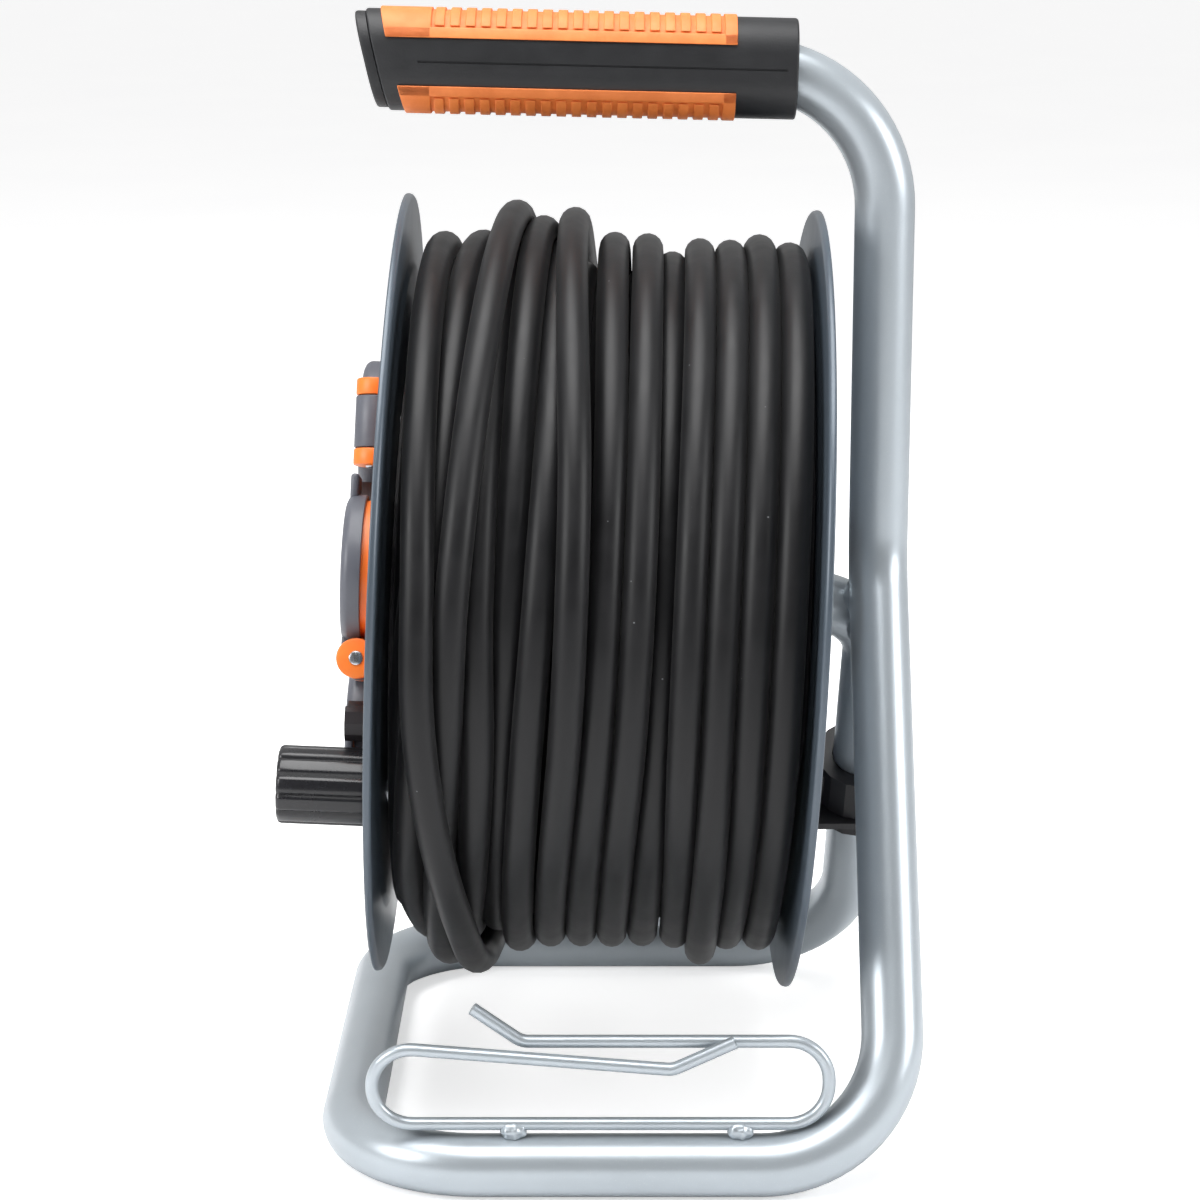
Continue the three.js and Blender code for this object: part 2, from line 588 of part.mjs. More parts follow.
// The torsion spring that shuts the lid, as the sleeve of its close coils.
const lidSpring = () =>
  ring(PIN_BORE_R, SPRING_R, -5, 5, BORE_SIDES).rotate([0, 90, 0]).translate([0, HINGE_Y, HINGE_Z]);

SOCKET_ANGLES.forEach((angle, i) => {
  const socket = new THREE.Group();
  const [x, y] = polar(SOCKET_RADIUS, angle);
  socket.position.set(x, y, 0);
  socket.rotation.z = rad(angle);
  face.add(socket);
  add(socket, `socket_insert_${i + 1}`, socketInsert(), blackPlastic);
  add(socket, `earth_contact_${i + 1}`, earthClip(), brass);
  add(socket, `socket_frame_${i + 1}`, socketFrame(), orangePlastic);
  add(socket, `socket_lid_${i + 1}`, socketLid(), greyPlastic);
  add(socket, `lid_hinge_pin_${i + 1}`, hingePin(), zincSteel);
  add(socket, `lid_spring_${i + 1}`, lidSpring(), zincSteel);
});

// ---------- winding knob ----------
function knobOutline() {
  const flutes = 12;
  const steps = 36;
  return Array.from({ length: steps }, (_, i) => {
    const a = (i * 2 * Math.PI) / steps;
    const r = KNOB_R - 0.9 * Math.max(0, Math.cos(flutes * a)) ** 2;
    return [r * Math.cos(a), r * Math.sin(a)];
  });
}
const knobShape = plate(knobOutline(), KNOB_BASE, KNOB_TOP)
  .subtract(disc(KNOB_PIN_R + GAP, 0, 60))
  .subtract(disc(7.5, KNOB_TOP - 5, 60, 0, 0, 20));
add(face, "winding_knob", knobShape.translate([knobX, knobY, 0]), blackPlastic);
const knobPin = disc(KNOB_PIN_R, -3.4, KNOB_TOP - 4)
  .add(disc(6.4, KNOB_TOP - 4.7, KNOB_TOP - 2))
  .add(disc(KNOB_PIN_HEAD_R, -3.4, -SHEET - GAP));
add(face, "knob_pin", knobPin.translate([knobX, knobY, 0]), zincSteel);

// ---------- drum brake ----------
// A collar clamped on the far leg, and a forked plate that slides on it to bear on the rear flange.
const legUp = axleCorner.clone().sub(farRearCorner).normalize();
const brakeAt = farRearCorner.clone().lerp(axleCorner, LEG_SHARE);
const brake = framed(reel, brakeAt, v(1, 0, 0), legUp.clone().cross(v(1, 0, 0)), legUp);

function brakeCollar() {
  const bore = TUBE_R + GAP + 0.15;
  const thick = ring(bore, 17.5, PLATE_HIGH + 0.5, 16).add(ring(bore, 16.5, -16, PLATE_LOW - 0.5));
  const guide = box(-21, -12, -9, 9, PLATE_HIGH + 0.5, 12);
  return ring(bore, COLLAR_R, -16, 16)
    .add(thick.intersect(box(-20, COLLAR_BACK, -20, 20, -20, 20)))
    .add(guide)
    .add(box(-4, 4, 12, 26, 2, 13))
    .subtract(disc(bore, -40, 40, 0, 0, 16))
    .subtract(rodX(2.2, -10, 10, BRAKE_SCREW.y, BRAKE_SCREW.z));
}
add(brake, "brake_collar", brakeCollar(), blackPlastic);
const brakeScrew = rodX(3.6, -7.2, -4.3, BRAKE_SCREW.y, BRAKE_SCREW.z)
  .add(rodX(1.8, -6, 6, BRAKE_SCREW.y, BRAKE_SCREW.z));
add(brake, "brake_collar_screw", brakeScrew, zincSteel);
const forkEnd = (x) => disc(COLLAR_R + 0.5, -20, 20, x, 0, 32);
const brakePlate = box(-29, 5, -19, 19, PLATE_LOW, PLATE_HIGH)
  .subtract(wasm.Manifold.hull([forkEnd(0), forkEnd(30)]));
add(brake, "brake_plate", brakePlate, blackPlastic);

// ---------- cable ----------
// The wound cable as one block, with a pocket where its plug is tucked in under the last turns.
const plugFrame = new THREE.Group();
plugFrame.rotation.z = rad(PLUG_ANGLE);
face.add(plugFrame);
const plugCentre = WINDING_R - 6.5;

function windingBlock() {
  const x0 = -FLANGE_X + SHEET + 2.2;
  const x1 = FLANGE_X - SHEET - GAP - 0.3;
  const inner = CORE_R + 0.8;
  const profile = [[inner, x0], [WINDING_R, x0], [WINDING_R, x1], [inner, x1], [inner, x0]];
  const block = acrossDrum(turned(profile, WHEEL_SIDES));
  const pocket = box(
    WINDING_R - POCKET.depth, WINDING_R + 40, -POCKET.back, POCKET.front,
    faceZ(PLUG_X) - POCKET.half, faceZ(PLUG_X) + POCKET.half,
  ).rotate([0, 0, PLUG_ANGLE]);
  return block.subtract(pocket);
}
add(face, "cable_winding", windingBlock(), blackRubber);

// A rubber plug: two round pins and a ribbed body that tapers to the cable. Local z runs to the pins.
const plug = framed(plugFrame, v(plugCentre, -4, faceZ(PLUG_X)), v(1, 0, 0), v(0, 0, -1), v(0, 1, 0));
const plugBody = turned([
  [0, -PLUG_LENGTH / 2], [8, -PLUG_LENGTH / 2], [10, -12], [PLUG_R - 2, 2], [PLUG_R, 8],
  [PLUG_R, PLUG_LENGTH / 2 - 4], [PLUG_R - 1.5, PLUG_LENGTH / 2 - 2], [0, PLUG_LENGTH / 2 - 2],
], 24);
add(plug, "plug_body", plugBody, blackRubber);
for (const [name, x] of [["plug_pin_1", -9.5], ["plug_pin_2", 9.5]])
  add(plug, name, disc(2.4, PLUG_LENGTH / 2 - 2 + GAP, PLUG_LENGTH / 2 + 17, 0, x, 12), zincSteel);

// ---------- origin ----------
// The origin is under the middle of the reel without its cable and plug.
const cordNames = ["cable_winding", "plug_body", "plug_pin_1", "plug_pin_2"];
const assembly = new THREE.Group();
assembly.add(reel);
assembly.updateMatrixWorld(true);
const extent = new THREE.Box3();
reel.traverse((piece) => {
  if (piece.isMesh && !cordNames.includes(piece.name)) extent.expandByObject(piece, true);
});
reel.position.x = -(extent.min.x + extent.max.x) / 2;

export default assembly;
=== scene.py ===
import bpy
import math
import numpy as np
from mathutils import Matrix, Vector, noise


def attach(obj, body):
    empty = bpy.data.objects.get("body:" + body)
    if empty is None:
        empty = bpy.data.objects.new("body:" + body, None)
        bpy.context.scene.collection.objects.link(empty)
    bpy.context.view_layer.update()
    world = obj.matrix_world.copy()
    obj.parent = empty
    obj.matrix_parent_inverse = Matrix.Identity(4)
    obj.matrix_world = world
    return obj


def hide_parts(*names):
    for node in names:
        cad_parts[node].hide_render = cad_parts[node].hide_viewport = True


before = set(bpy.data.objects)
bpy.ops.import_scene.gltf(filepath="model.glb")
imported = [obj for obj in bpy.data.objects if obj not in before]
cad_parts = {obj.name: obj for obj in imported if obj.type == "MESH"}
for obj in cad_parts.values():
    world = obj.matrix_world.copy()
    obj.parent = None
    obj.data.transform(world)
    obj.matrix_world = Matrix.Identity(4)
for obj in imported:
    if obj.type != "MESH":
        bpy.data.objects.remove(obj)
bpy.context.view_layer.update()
print("frame loaded")

# The camera: lens and sensor in mm, place in metres, tip in degrees from straight down.
view = {"lens": 89.41, "sensor": 36, "place": (-0.00092, -1.09523, 0.42866), "tip": 77.55}
cameraData = bpy.data.cameras.new("productCamera")
cameraData.lens = view["lens"]
cameraData.sensor_width = view["sensor"]
cameraData.clip_end = 200
camera = bpy.data.objects.new("productCamera", cameraData)
camera.location = view["place"]
camera.rotation_euler = (math.radians(view["tip"]), 0, 0)
bpy.context.scene.collection.objects.link(camera)
bpy.context.scene.camera = camera
bpy.context.scene.view_settings.view_transform = "Standard"

# The axes that pieces are drawn in. Everything is drawn in mm and placed in metres.
reel = {"shift": -1.1963, "hubZ": 190.6, "drumShift": -0.9, "drumTilt": 2.4, "flangeX": 73.7}
toMetres = Matrix.Scale(0.001, 4)
rowFromReel = toMetres @ Matrix.Translation((reel["shift"], 0, 0))
drumTurn = Matrix.Rotation(math.radians(reel["drumTilt"]), 4, "Y")
rowFromDrum = rowFromReel @ Matrix.Translation((reel["drumShift"], 0, reel["hubZ"])) @ drumTurn


def axesAt(origin, x, y, z):
    made = Matrix((x, y, z)).transposed().to_4x4()
    return Matrix.Translation(origin) @ made


# x towards the clip's side, y up and z out of the front, from the front disc's outer face.
rowFromFace = rowFromDrum @ axesAt((-reel["flangeX"], 0, 0), (0, -1, 0), (0, 0, 1), (-1, 0, 0))


def onFace(radius, angle, z=0):
    return (radius * math.cos(math.radians(angle)), radius * math.sin(math.radians(angle)), z)


def turnedBy(degrees):
    return Matrix.Rotation(math.radians(degrees), 4, "Z")


# Modelling helpers.
def deselectAll():
    if bpy.context.object and bpy.context.object.mode != "OBJECT":
        bpy.ops.object.mode_set(mode="OBJECT")
    bpy.ops.object.select_all(action="DESELECT")


def pick(*objects):
    deselectAll()
    for obj in objects:
        obj.select_set(True)
    bpy.context.view_layer.objects.active = objects[0]


def editAll(obj):
    pick(obj)
    bpy.ops.object.mode_set(mode="EDIT")
    bpy.ops.mesh.select_all(action="SELECT")


def joined(*objects):
    pick(*objects)
    bpy.ops.object.join()
    return objects[0]


def copyOf(obj):
    made = obj.copy()
    made.data = obj.data.copy()
    bpy.context.scene.collection.objects.link(made)
    return made


# Puts a finished shape in its place with its place in its mesh, and gives it its material and body.
def finished(obj, name, material, body, place, replaced=(), smooth=35):
    obj.name = name
    obj.data.name = name
    obj.matrix_world = place
    pick(obj)
    bpy.ops.object.transform_apply(location=True, rotation=True, scale=True)
    bpy.ops.object.shade_smooth_by_angle(angle=math.radians(smooth))
    obj.data.materials.clear()
    obj.data.materials.append(material)
    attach(obj, body)
    if replaced:
        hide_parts(*replaced)
    return obj


# A profile of (radius, z) points, extruded point by point and spun about Z.
def turnedShape(profile, steps=96):
    deselectAll()
    bpy.ops.mesh.primitive_plane_add(size=1)
    obj = bpy.context.object
    bpy.ops.object.mode_set(mode="EDIT")
    bpy.ops.mesh.select_mode(type="VERT")
    bpy.ops.mesh.select_all(action="SELECT")
    bpy.ops.mesh.merge(type="CENTER")
    bpy.ops.transform.translate(value=(profile[0][0], 0, profile[0][1]))
    for (r0, z0), (r1, z1) in zip(profile, profile[1:]):
        bpy.ops.mesh.extrude_vertices_move(TRANSFORM_OT_translate={"value": (r1 - r0, 0, z1 - z0)})
    bpy.ops.mesh.select_all(action="SELECT")
    bpy.ops.mesh.spin(steps=steps, angle=2 * math.pi, center=(0, 0, 0), axis=(0, 0, 1))
    bpy.ops.mesh.select_all(action="SELECT")
    bpy.ops.mesh.remove_doubles(threshold=0.001)
    bpy.ops.mesh.normals_make_consistent(inside=False)
    bpy.ops.object.mode_set(mode="OBJECT")
    return obj


# A cylinder with bevelled rims, along the given axis.
def roundBar(radius, start, end, centre=(0, 0), axis="Z", sides=48, edge=0.4):
    deselectAll()
    middle = (0, 0, (start + end) / 2)
    bpy.ops.mesh.primitive_cylinder_add(vertices=sides, radius=radius, depth=end - start, location=middle)
    obj = bpy.context.object
    bpy.ops.object.transform_apply(location=True)
    bevelled(obj, edge, 2, 40)
    if axis == "X":
        obj.data.transform(Matrix.Translation((0, centre[0], centre[1])) @ Matrix.Rotation(math.pi / 2, 4, "Y"))
    else:
        obj.data.transform(Matrix.Translation((centre[0], centre[1], 0)))
    return obj


def bevelled(obj, width, segments, angle):
    pick(obj)
    bevel = obj.modifiers.new("edges", "BEVEL")
    bevel.width = width
    bevel.segments = segments
    bevel.limit_method = "ANGLE"
    bevel.angle_limit = math.radians(angle)
    bpy.ops.object.modifier_apply(modifier="edges")
    return obj


def block(low, high, edge=0.6, segments=2):
    deselectAll()
    middle = [(a + b) / 2 for a, b in zip(low, high)]
    bpy.ops.mesh.primitive_cube_add(size=1, location=middle)
    obj = bpy.context.object
    obj.scale = [b - a for a, b in zip(low, high)]
    bpy.ops.object.transform_apply(location=True, scale=True)
    return bevelled(obj, edge, segments, 30)


# Keeps the part of a closed shape on the side of a plane that its normal points away from.
def cutOff(obj, point, normal):
    editAll(obj)
    bpy.ops.mesh.bisect(plane_co=point, plane_no=normal, use_fill=True, clear_outer=True)
    bpy.ops.object.mode_set(mode="OBJECT")
    return obj


# Points along straight runs with round bends: each corner is (x, y, z, bend radius).
def bentRoute(corners, step=6):
    points = [Vector(corners[0][:3])]
    for before, corner, after in zip(corners, corners[1:], corners[2:]):
        a, at, b = Vector(before[:3]), Vector(corner[:3]), Vector(after[:3])
        into, out = (at - a).normalized(), (b - at).normalized()
        angle = into.angle(out)
        start = at - into * corner[3] * math.tan(angle / 2)
        axis = into.cross(out).normalized()
        centre = start + axis.cross(into) * corner[3]
        steps = max(3, math.ceil(math.degrees(angle) / step))
        for k in range(steps + 1):
            points.append(centre + Matrix.Rotation(angle * k / steps, 3, axis) @ (start - centre))
    points.append(Vector(corners[-1][:3]))
    return points


# A round curve along points, in the units that they are given in.
def lineOf(name, points, radius, resolution):
    data = bpy.data.curves.new(name, "CURVE")
    data.dimensions = "3D"
    data.bevel_depth = radius
    data.bevel_resolution = resolution
    data.use_fill_caps = True
    spline = data.splines.new("POLY")
    spline.points.add(len(points) - 1)
    for place, point in zip(spline.points, points):
        place.co = (*point, 1)
    obj = bpy.data.objects.new(name, data)
    bpy.context.scene.collection.objects.link(obj)
    return obj


def tubeOf(name, points, radius, resolution=10):
    obj = lineOf(name, points, radius, resolution)
    pick(obj)
    bpy.ops.object.convert(target="MESH")
    return bpy.context.object


# Materials.
def linear(colour):
    parts = [int(colour[i:i + 2], 16) / 255 for i in (1, 3, 5)]
    return (*(c / 12.92 if c <= 0.04045 else ((c + 0.055) / 1.055) ** 2.4 for c in parts), 1)


def addNode(tree, kind, settings=None, links=None):
    node = tree.nodes.new(kind)
    for key, value in (settings or {}).items():
        if isinstance(key, str) and hasattr(node, key):
            setattr(node, key, value)
        else:
            node.inputs[key].default_value = value
    for key, source in (links or {}).items():
        tree.links.new(source, node.inputs[key])
    return node


# A finish with soft patches of a second colour, a fine grain that is felt in the bump, and specks of dust or
# flake. Sizes are in mm: patch and grain are how far apart their features lie, depth how deep the grain goes.
def surface(name, finish):
    material = bpy.data.materials.new(name)
    material.use_nodes = True
    tree = material.node_tree
    shader = tree.nodes["Principled BSDF"]
    place = addNode(tree, "ShaderNodeTexCoord").outputs["Object"]
    patch = addNode(tree, "ShaderNodeTexNoise",
                    {"Scale": 1000 / finish["patch"], "Detail": 4, "Roughness": 0.6}, {"Vector": place})
    grain = addNode(tree, "ShaderNodeTexNoise",
                    {"Scale": 1000 / finish["grain"], "Detail": 2, "Roughness": 0.5}, {"Vector": place})
    spread = addNode(tree, "ShaderNodeMapRange",
                     {"From Min": 0.35, "From Max": 0.65}, {"Value": patch.outputs["Fac"]})
    colour = addNode(tree, "ShaderNodeMix",
                     {"data_type": "RGBA", 6: linear(finish["colour"]), 7: linear(finish["tint"])},
                     {0: spread.outputs[0]}).outputs[2]
    if "specks" in finish:
        cells = addNode(tree, "ShaderNodeTexVoronoi",
                        {"Scale": 1000 / finish["speckEvery"]}, {"Vector": place})
        share = finish["speckSize"] / finish["speckEvery"]
        mask = addNode(tree, "ShaderNodeMapRange",
                       {"From Min": share, "From Max": share * 0.6}, {"Value": cells.outputs["Distance"]})
        seen = addNode(tree, "ShaderNodeSeparateColor", {}, {"Color": cells.outputs["Color"]})
        some = addNode(tree, "ShaderNodeMath",
                       {"operation": "LESS_THAN", 1: finish["speckShare"]}, {0: seen.outputs[0]})
        both = addNode(tree, "ShaderNodeMath",
                       {"operation": "MULTIPLY"}, {0: mask.outputs[0], 1: some.outputs[0]})
        colour = addNode(tree, "ShaderNodeMix",
                         {"data_type": "RGBA", 7: linear(finish["specks"])},
                         {0: both.outputs[0], 6: colour}).outputs[2]
    low, high = finish["roughness"]
    rough = addNode(tree, "ShaderNodeMapRange",
                    {"From Min": 0.3, "From Max": 0.7, "To Min": low, "To Max": high},
                    {"Value": patch.outputs["Fac"]})
    bump = addNode(tree, "ShaderNodeBump",
                   {"Strength": 0.6, "Distance": finish["depth"] / 1000}, {"Height": grain.outputs["Fac"]})
    tree.links.new(colour, shader.inputs["Base Color"])
    tree.links.new(rough.outputs[0], shader.inputs["Roughness"])
    tree.links.new(bump.outputs[0], shader.inputs["Normal"])
    for key, value in finish.get("shader", {}).items():
        shader.inputs[key].default_value = value
    return material


# Aluminium-loaded enamel, sprayed over steel tube: soft metallic sheen, fine flake and slight orange peel.
silverEnamel = surface("silver enamel, sprayed", {
    "colour": "#b4bcc2", "tint": "#aeb6bc", "patch": 60, "grain": 2.6, "depth": 0.02, "roughness": (0.32, 0.37),
    "specks": "#b6bdc1", "speckEvery": 0.9, "speckSize": 0.28, "speckShare": 0.35,
    "shader": {"Metallic": 0.55, "Coat Weight": 0.1, "Coat Roughness": 0.2}})
# Slate enamel, sprayed over pressed sheet steel: a dark satin with orange peel that breaks its long highlights.
slateEnamel = surface("slate enamel, sprayed", {
    "colour": "#505a64", "tint": "#4b555f", "patch": 60, "grain": 1.8, "depth": 0.03, "roughness": (0.32, 0.4),
    "shader": {"Metallic": 0.25, "Coat Weight": 0.2, "Coat Roughness": 0.25}})
# Rubber cable sheath, extruded: nearly matt, with a faint chalky bloom and a few specks of dust.
sheathRubber = surface("rubber sheath, extruded", {
    "colour": "#0c0c0e", "tint": "#121214", "patch": 14, "grain": 0.9, "depth": 0.04, "roughness": (0.42, 0.52),
    "specks": "#66686b", "speckEvery": 9, "speckSize": 0.35, "speckShare": 0.3,
    "shader": {"Specular IOR Level": 0.32, "Sheen Weight": 0.03, "Sheen Roughness": 0.5}})
# Rubber plug body, moulded over the cable: like the sheath with a finer skin.
plugRubber = surface("rubber plug, moulded", {
    "colour": "#151517", "tint": "#1b1b1d", "patch": 10, "grain": 0.7, "depth": 0.03, "roughness": (0.5, 0.58)})
# Glass-filled nylon, moulded in a sparked tool: a fine even grain that spreads its highlights.
gripNylon = surface("glass-filled nylon, moulded", {
    "colour": "#111215", "tint": "#17181b", "patch": 12, "grain": 0.8,
    "depth": 0.09, "roughness": (0.46, 0.56)})
# ABS, moulded in a polished tool: charcoal with clear highlights on its flutes.
knobAbs = surface("ABS knob, moulded", {
    "colour": "#1f1f22", "tint": "#1b1b1e", "patch": 18, "grain": 2.5,
    "depth": 0.012, "roughness": (0.24, 0.32)})
# Polypropylene, moulded: a waxy blue-grey skin with slight cloudiness.
lidPolypropylene = surface("polypropylene lid, moulded", {
    "colour": "#5a5c64", "tint": "#53555d", "patch": 15, "grain": 1.2,
    "depth": 0.025, "roughness": (0.38, 0.46),
    "specks": "#b9bac0", "speckEvery": 7, "speckSize": 0.4, "speckShare": 0.15})
# Polyamide, moulded and self-coloured: strong orange with a satin skin.
orangePolyamide = surface("orange polyamide, moulded", {
    "colour": "#f2802f", "tint": "#ea7526", "patch": 12, "grain": 1.0,
    "depth": 0.02, "roughness": (0.36, 0.44)})
# Soft thermoplastic elastomer, moulded over the grip: matt orange with rubbed, slightly darker patches.
gripElastomer = surface("thermoplastic elastomer, moulded", {
    "colour": "#e5803e", "tint": "#d97434", "patch": 9, "grain": 0.9, "depth": 0.05, "roughness": (0.5, 0.6)})
# Black polyamide, moulded: the socket inserts, the brake, the panel and the drum's barrel.
blackPolyamide = surface("black polyamide, moulded", {
    "colour": "#18171a", "tint": "#1e1d20", "patch": 14, "grain": 1.0,
    "depth": 0.05, "roughness": (0.42, 0.52)})
panelPolyamide = surface("panel polyamide, moulded", {
    "colour": "#2a2629", "tint": "#252124", "patch": 20, "grain": 1.1,
    "depth": 0.06, "roughness": (0.44, 0.54)})
# Steel, cold formed and bright zinc plated: clean highlights with faint cloudy passivation.
zincSteel = surface("zinc-plated steel, formed", {
    "colour": "#c4c8cc", "tint": "#b4bac2", "patch": 6, "grain": 0.6, "depth": 0.01, "roughness": (0.22, 0.32),
    "shader": {"Metallic": 1.0}})
contactBrass = surface("brass strip, pressed", {
    "colour": "#c9a255", "tint": "#b58d45", "patch": 5, "grain": 0.5, "depth": 0.01, "roughness": (0.25, 0.35),
    "shader": {"Metallic": 1.0}})
print("materials made")

# The wound cable. Turns are laid in the drum's axes: x along the axle, r from it, angles from the clip's side
# over the top. Three hidden layers run to and fro, then the outer turns run from the rear disc to the front one.
cable = {
    "radius": 5.65, "core": 91, "outermost": 138.9, "front": -64.3, "rear": 66.2, "steps": 60, "start": 246,
    "hidden": ((12, 1), (12, -1), (11, 1)), "layerHeight": 9.9, "length": 34.7,
    "glandX": -62, "glandRadius": 80, "glandFrom": 218, "glandRamp": 80,
}
plug = {"angle": 176, "x": -52, "radius": 125.5, "half": 18.5}
# Each outer turn's x at the underside, near side, top and far side, then how far it stands off there.
outerTurns = (
    ((64.4, 63.1, 65.5, 65), (0, 0, 0, 0)),
    ((53.1, 51.7, 54.6, 56), (0, 0, 0, 0)),
    ((42.5, 40.2, 43.4, 48), (0, 0, 0, 0)),
    ((32.0, 31.0, 32.5, 40), (0, 0, 0, 0)),
    ((18.5, 24.2, 21.5, 30), (0, 1, 0, 0)),
    ((6.5, 13.5, 11.3, 22), (0, 2, 1, 0)),
    ((-4.7, 4.0, -1.2, 12), (0, 0, 0, 0)),
    ((-15.5, -7.2, -16.9, 2), (0, 3, 7, 0)),
    ((-26.3, -20.1, -19.0, -8), (0, 3, 0, 0)),
    ((-36.5, -30.0, -27.6, -14), (0, 0, 0, 0)),
    ((-48, -40.1, -35.3, -18), (0, 0, 0, 0)),
    ((-50, -50.6, -36.4, -20), (0, 0, 12, 0)),
    ((-60.1, -58, -52.9, -24), (0, 0, 0, 0)),
    ((-36, -61.5, -64.3, -52), (17, 4, 0, 0)),
)


def outerRoute(first, last, every):
    places, offsets, angles = [], [], []
    for k, (xs, stands) in enumerate(outerTurns):
        for angle, x, stand in zip((-75, 0, 90, 180), xs, stands):
            angles.append(k * 360 + angle)
            places.append(x + 3.2 * noise.noise(Vector((k * 1.7, angle / 90, 0.3))))
            offsets.append(stand)
    along = np.arange(first, last + 0.01, every)
    width = 15
    soft = lambda line: np.convolve(np.pad(line, width // 2, "edge"), np.ones(width) / width, "valid")
    return soft(np.interp(along, angles, places, left=cable["rear"])), soft(np.interp(along, angles, offsets))


# Lays every turn, then lets the turns settle: each is drawn in, smoothed along its length, and pushed off its
# neighbours, the barrel, the discs and the plug wherever they come closer than a diameter.
def settledTurns(rounds=520):
    steps, thick = cable["steps"], 2 * cable["radius"]
    floor = cable["core"] + cable["radius"]
    laidX, laidR, stands, hold = [], [], [], []
    for layer, (count, way) in enumerate(cable["hidden"]):
        a, b = (cable["front"], cable["rear"]) if way > 0 else (cable["rear"], cable["front"])
        along = np.clip(np.arange(count * steps) / (count * steps - 0.5 * steps), 0, 1)
        laidX.append(a + (b - a) * along)
        laidR.append(np.full(len(along), floor + layer * cable["layerHeight"]))
        stands.append(np.zeros(len(along)))
        hold.append(np.full(len(along), 0.01))
    outerX, outerStand = outerRoute(cable["start"] - 360, (len(outerTurns) - 1) * 360 + 162, 360 / steps)
    laidX.append(outerX)
    laidR.append(floor + len(cable["hidden"]) * cable["layerHeight"] + outerStand)
    stands.append(outerStand)
    hold.append(np.full(len(outerX), 0.12))
    x, r, stand, hold = (np.concatenate(part) for part in (laidX, laidR, stands, hold))
    wanted, count = x.copy(), len(x)
    rows = math.ceil(count / steps)
    spare = np.arange(rows * steps - count) * 50 + 1e4
    own = np.arange(rows)
    bins = np.arange(count) % steps
    binAngle = (cable["start"] + np.arange(steps) * 360 / steps) % 360
    away = np.abs((binAngle - plug["angle"] + 180) % 360 - 180)
    plugAt = (plug["radius"] / np.cos(np.radians(np.minimum(away, 68))))[bins]
    byPlug = (away < 30)[bins] & (np.arange(count) < count - 0.35 * steps)
    keep = plug["half"] + cable["radius"] + 0.6
    for turn in range(rounds):
        x[1:-1] += 0.2 * (x[:-2] + x[2:] - 2 * x[1:-1])
        r[1:-1] += 0.4 * (r[:-2] + r[2:] - 2 * r[1:-1])
        x += hold * (wanted - x)
        r -= (0.22 if turn < rounds * 0.7 else 0.06) * (stand < 1.5)
        for again in range(3):
            gridX = np.concatenate([x, spare]).reshape(rows, steps)
            gridR = np.concatenate([r, spare]).reshape(rows, steps)
            dx = gridX[:, None] - gridX[None]
            dr = gridR[:, None] - gridR[None]
            gap = np.sqrt(dx * dx + dr * dr) + 1e-6
            push = np.where(gap < thick, 0.5 * (thick - gap) / gap, 0)
            push[own, own] = 0
            x += 0.75 * np.clip((push * dx).sum(1).reshape(-1)[:count], -3, 3)
            r += 0.75 * np.clip((push * dr).sum(1).reshape(-1)[:count], -3, 3)
            r = np.clip(r, floor, cable["outermost"])
            x = np.clip(x, cable["front"], cable["rear"])
            px, pr = x - plug["x"], r - plugAt
            gap = np.sqrt(px * px + pr * pr) + 1e-6
            push = np.where(byPlug & (gap < keep), keep - gap, 0)
            x += np.clip(push * px / gap, -2, 2)
            r += 0.5 * np.clip(push * pr / gap, -2, 2)
    return cable["start"] + np.arange(count) * 360 / steps, x, r


def windingPoints():
    angle, x, r = settledTurns()
    lead = np.arange(cable["glandFrom"], cable["start"] - 1, 360 / cable["steps"])
    angle = np.concatenate([lead, angle])
    x = np.concatenate([np.full(len(lead), x[0]), x])
    r = np.concatenate([np.full(len(lead), cable["core"] + cable["radius"]), r])
    t = np.clip((angle - cable["glandFrom"]) / cable["glandRamp"], 0, 1)
    ease = t * t * (3 - 2 * t)
    r = cable["glandRadius"] + (r - cable["glandRadius"]) * ease
    x = cable["glandX"] + (x - cable["glandX"]) * ease
    # The last stretch runs onto the plug's own line.
    last = angle[-1] + (plug["angle"] - 162)
    left = last - angle
    t = np.clip((60 - left) / 35, 0, 1)
    ease = t * t * (3 - 2 * t)
    r = r + ease * (plug["radius"] / np.cos(np.radians(np.minimum(np.abs(left), 60))) - r)
    x = x + ease * (plug["x"] - x)
    a = np.radians(angle)
    return [rowFromDrum @ Vector(p) for p in zip(x, -r * np.cos(a), r * np.sin(a))]


# Puts a point between each two of the outer turns, which are seen, so that they bend smoothly.
def smoothed(points, first):
    made = points[:first]
    for a, b, c, d in zip(points[first - 1:], points[first:], points[first + 1:], points[first + 2:]):
        made += [b, (9 * (b + c) - a - d) / 16]
    return made + points[-2:]


cordPoints = smoothed(windingPoints(), cable["steps"] * sum(count for count, way in cable["hidden"]))
cordLength = sum((b - a).length for a, b in zip(cordPoints, cordPoints[1:]))
cord = lineOf("woundCable", cordPoints, cable["radius"] / 1000, 6)
cord.data.materials.append(sheathRubber)
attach(cord, "drum")
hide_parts("cable_winding")
print(f"cable wound, {cordLength:.2f} m")

